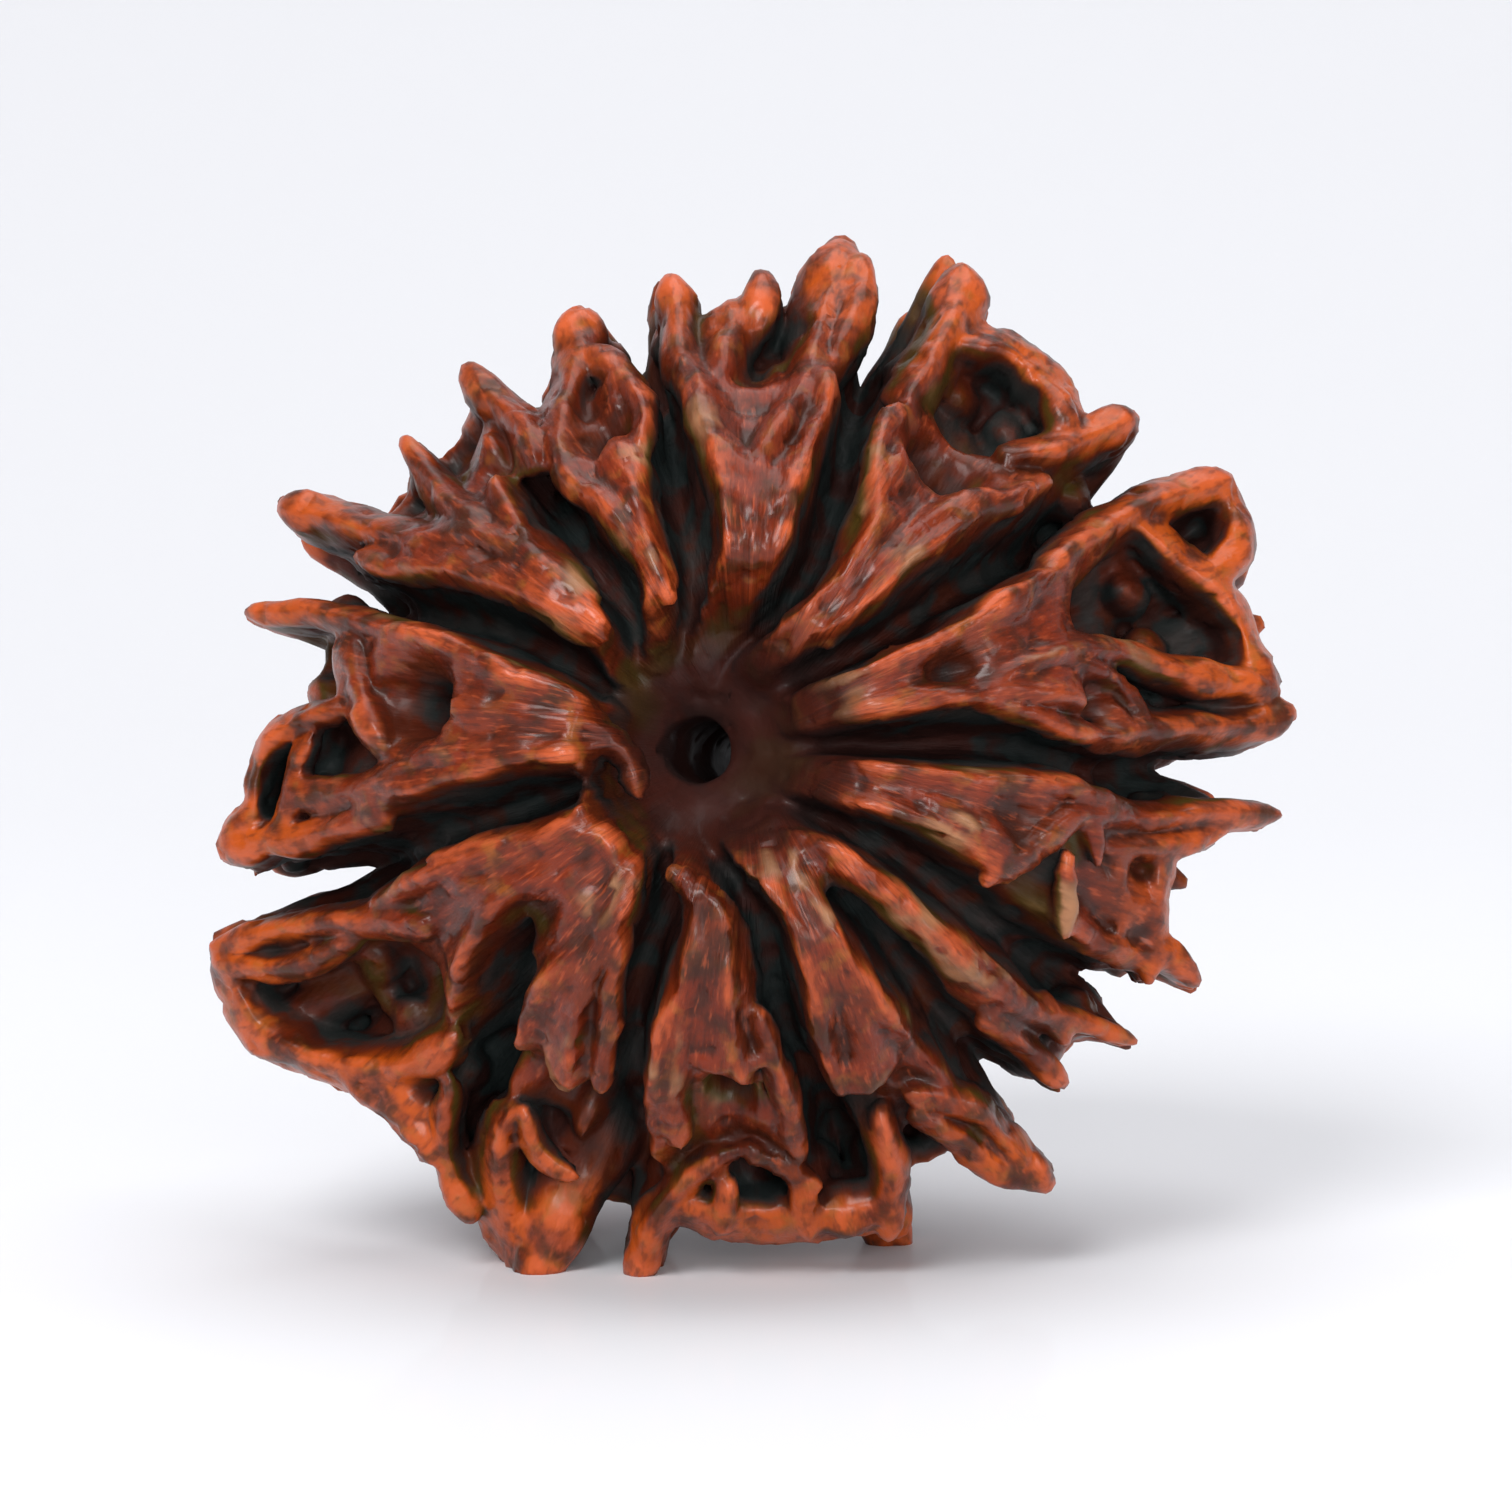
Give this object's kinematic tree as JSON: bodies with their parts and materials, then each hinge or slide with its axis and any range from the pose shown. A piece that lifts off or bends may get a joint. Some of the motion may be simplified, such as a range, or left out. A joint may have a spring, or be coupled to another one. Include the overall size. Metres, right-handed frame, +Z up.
{
  "type": "rudraksha bead",
  "caption": "Ribbed seed stone with deep clefts between thorny lobes and a thread hole through it, standing on edge on its lower thorns.",
  "frame": {"origin": "middle of the bead's box, at the level of the floor it stands on", "axes": "+Z up; +Y away from the clean end of the thread hole, which faces -Y and leans back a little; +X to the right seen from there"},
  "size_m": [0.028, 0.0206, 0.0262],
  "materials": {
    "oiled_stone": "oiled seed stone, satin"
  },
  "bodies": {
    "root": {"bead": "oiled_stone"}
  },
  "joints": []
}
